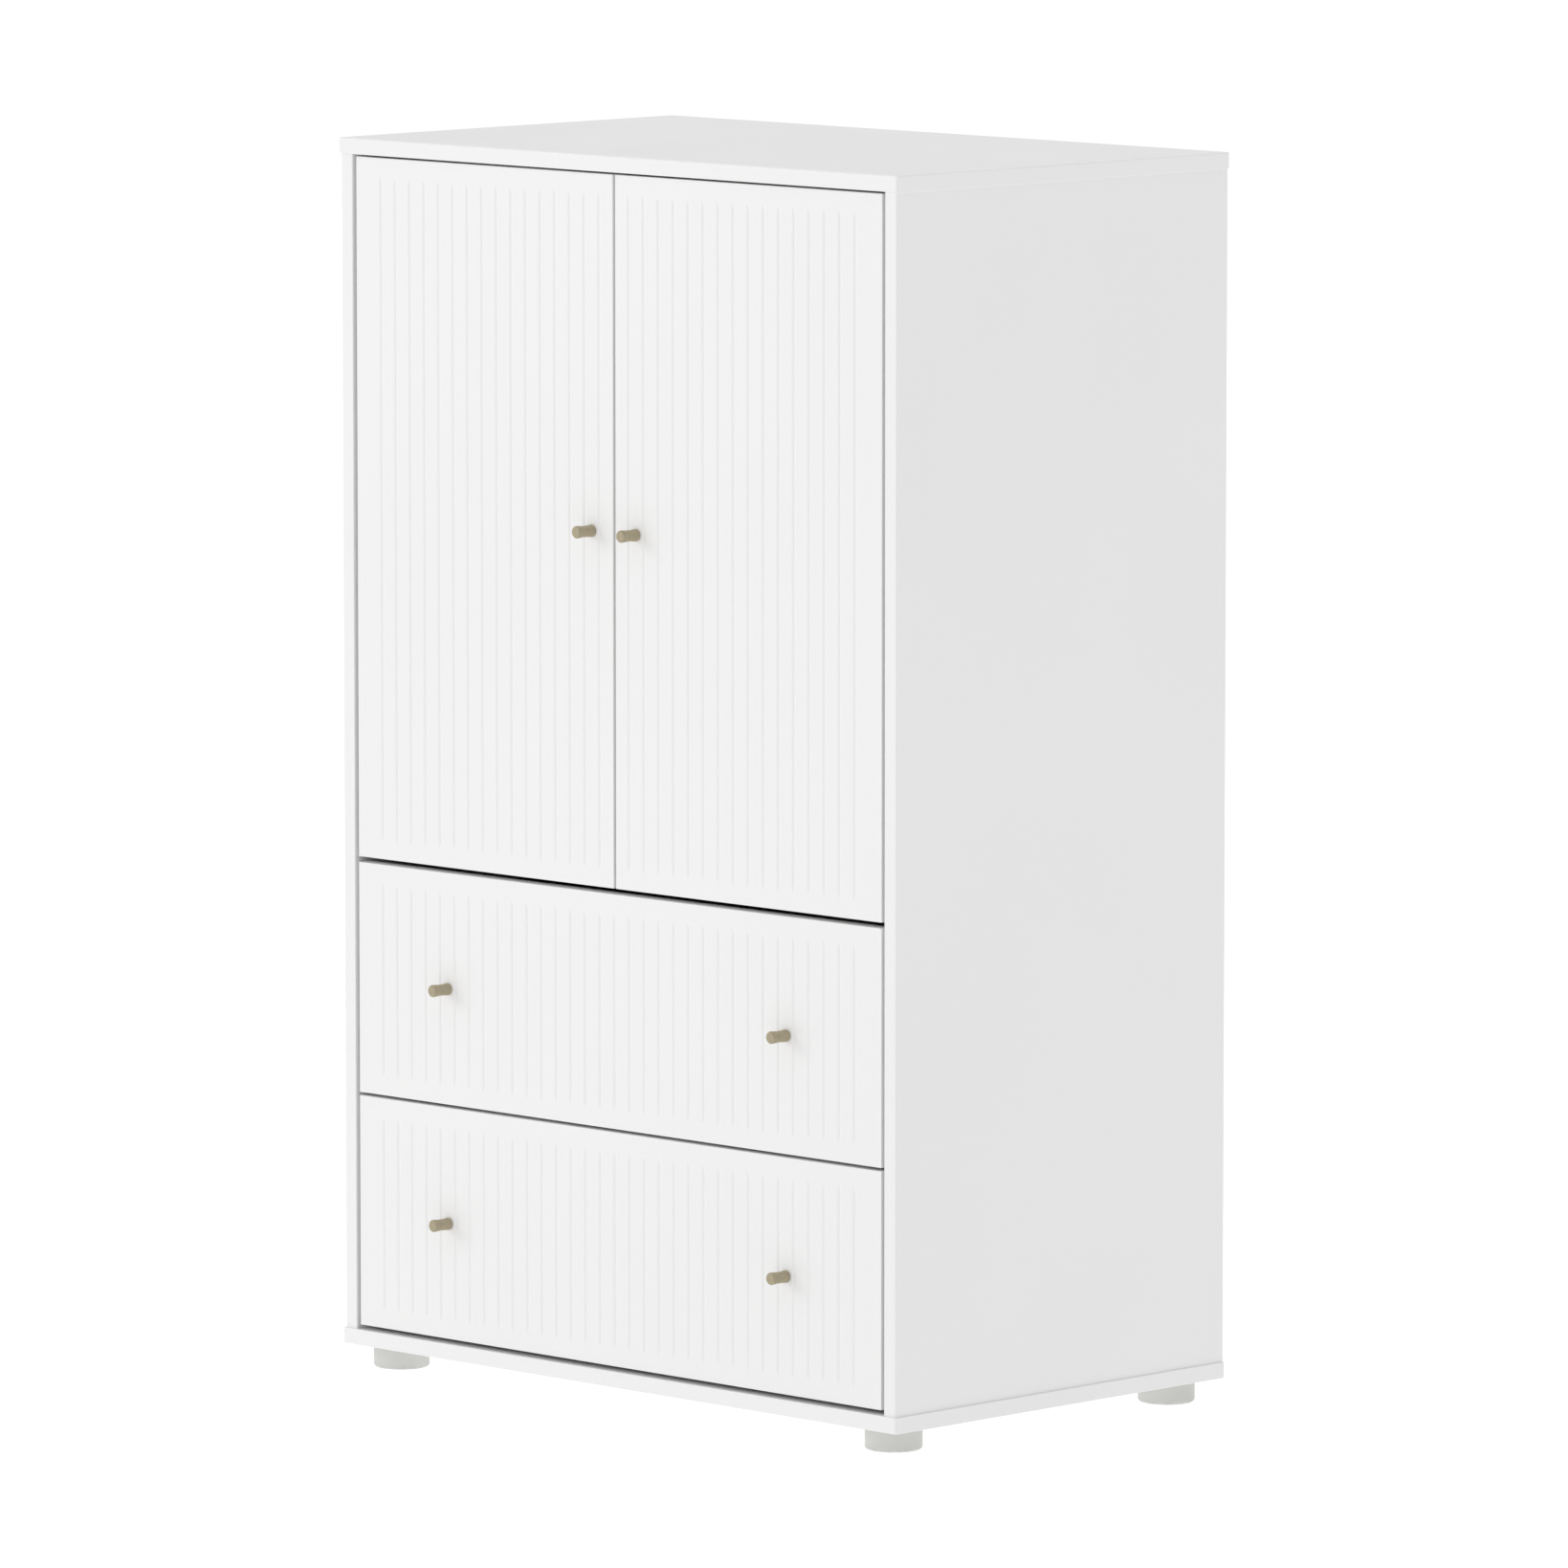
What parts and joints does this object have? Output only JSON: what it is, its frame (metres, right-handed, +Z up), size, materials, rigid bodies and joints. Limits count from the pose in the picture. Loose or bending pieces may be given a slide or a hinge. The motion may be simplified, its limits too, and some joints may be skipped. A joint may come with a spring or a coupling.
{
  "type": "wardrobe with doors",
  "caption": "Low free-standing wardrobe: grooved swing doors on concealed hinges hide a clothes rail and shelf, above grooved full-width drawers on slides; small round knobs and feet.",
  "frame": {"origin": "on the floor, in the middle of the whole object's box, knobs included", "axes": "+Z up, +X to the right for someone facing the doors, the doors and drawers open towards -Y"},
  "size_m": [0.82, 0.5142, 1.3078],
  "materials": {
    "lacquered_board": "smooth white satin lacquer",
    "inner_board": "white foil, satin",
    "thin_board": "white painted hardboard, matt",
    "knob_metal": "aged satin brass",
    "foot_plastic": "moulded, fine matt texture",
    "fitting_steel": "nickel-plated satin steel",
    "screw_steel": "zinc-plated steel",
    "cam_metal": "die-cast zinc, raw",
    "socket_plastic": "moulded plastic",
    "dowel_wood": "raw beech",
    "bumper_rubber": "soft translucent-white pads"
  },
  "bodies": {
    "carcass": {"top_panel": "lacquered_board", "bottom_panel": "lacquered_board", "left_side_panel": "lacquered_board", "right_side_panel": "lacquered_board", "back_panel": "thin_board", "fixed_shelf": "inner_board", "movable_shelf": "inner_board", "clothes_rail": "fitting_steel", "rail_sockets": "socket_plastic", "shelf_pins": "fitting_steel", "front_left_foot": "foot_plastic", "front_right_foot": "foot_plastic", "back_left_foot": "foot_plastic", "back_right_foot": "foot_plastic", "case_dowels": "dowel_wood", "cam_bolts": "screw_steel", "cam_locks": "cam_metal", "case_screws": "screw_steel", "door_bumpers": "bumper_rubber", "wall_brackets": "fitting_steel", "left_hinge_plates": "fitting_steel", "right_hinge_plates": "fitting_steel", "left_hinge_arms": "fitting_steel", "right_hinge_arms": "fitting_steel", "upper_cabinet_slides": "fitting_steel", "lower_cabinet_slides": "fitting_steel"},
    "left_door": {"left_door_panel": "lacquered_board", "left_door_knob": "knob_metal", "left_knob_screw": "screw_steel", "left_hinge_cups": "fitting_steel", "left_hinge_pins": "fitting_steel", "left_cup_screws": "screw_steel"},
    "right_door": {"right_door_panel": "lacquered_board", "right_door_knob": "knob_metal", "right_knob_screw": "screw_steel", "right_hinge_cups": "fitting_steel", "right_hinge_pins": "fitting_steel", "right_cup_screws": "screw_steel"},
    "upper_drawer": {"upper_front": "lacquered_board", "upper_left_side": "inner_board", "upper_right_side": "inner_board", "upper_back": "inner_board", "upper_bottom": "thin_board", "upper_knobs": "knob_metal", "upper_knob_screws": "screw_steel", "upper_drawer_slides": "fitting_steel", "upper_drawer_screws": "screw_steel"},
    "upper_slide_middles": {"upper_middle_slides": "fitting_steel"},
    "lower_drawer": {"lower_front": "lacquered_board", "lower_left_side": "inner_board", "lower_right_side": "inner_board", "lower_back": "inner_board", "lower_bottom": "thin_board", "lower_knobs": "knob_metal", "lower_knob_screws": "screw_steel", "lower_drawer_slides": "fitting_steel", "lower_drawer_screws": "screw_steel"},
    "lower_slide_middles": {"lower_middle_slides": "fitting_steel"}
  },
  "joints": [
    {"name": "left_door_swing", "type": "hinge", "parent": "carcass", "child": "left_door", "pos_m": [-0.3745, -0.2226, 0.9177], "axis": [0, 0, -1], "range_deg": [0, 94]},
    {"name": "right_door_swing", "type": "hinge", "parent": "carcass", "child": "right_door", "pos_m": [0.3745, -0.2226, 0.9177], "axis": [0, 0, 1], "range_deg": [0, 94]},
    {"name": "upper_drawer_slide", "type": "slide", "parent": "carcass", "child": "upper_drawer", "axis": [0, -1, 0], "range_m": [0, 0.38]},
    {"name": "lower_drawer_slide", "type": "slide", "parent": "carcass", "child": "lower_drawer", "axis": [0, -1, 0], "range_m": [0, 0.38]},
    {"name": "upper_middle_slide", "type": "slide", "parent": "carcass", "child": "upper_slide_middles", "axis": [0, -1, 0], "range_m": [0, 0.19]},
    {"name": "lower_middle_slide", "type": "slide", "parent": "carcass", "child": "lower_slide_middles", "axis": [0, -1, 0], "range_m": [0, 0.19]}
  ],
  "couplings": [
    {"joint": "upper_middle_slide", "follows": "upper_drawer_slide", "ratio": 0.5},
    {"joint": "lower_middle_slide", "follows": "lower_drawer_slide", "ratio": 0.5}
  ]
}
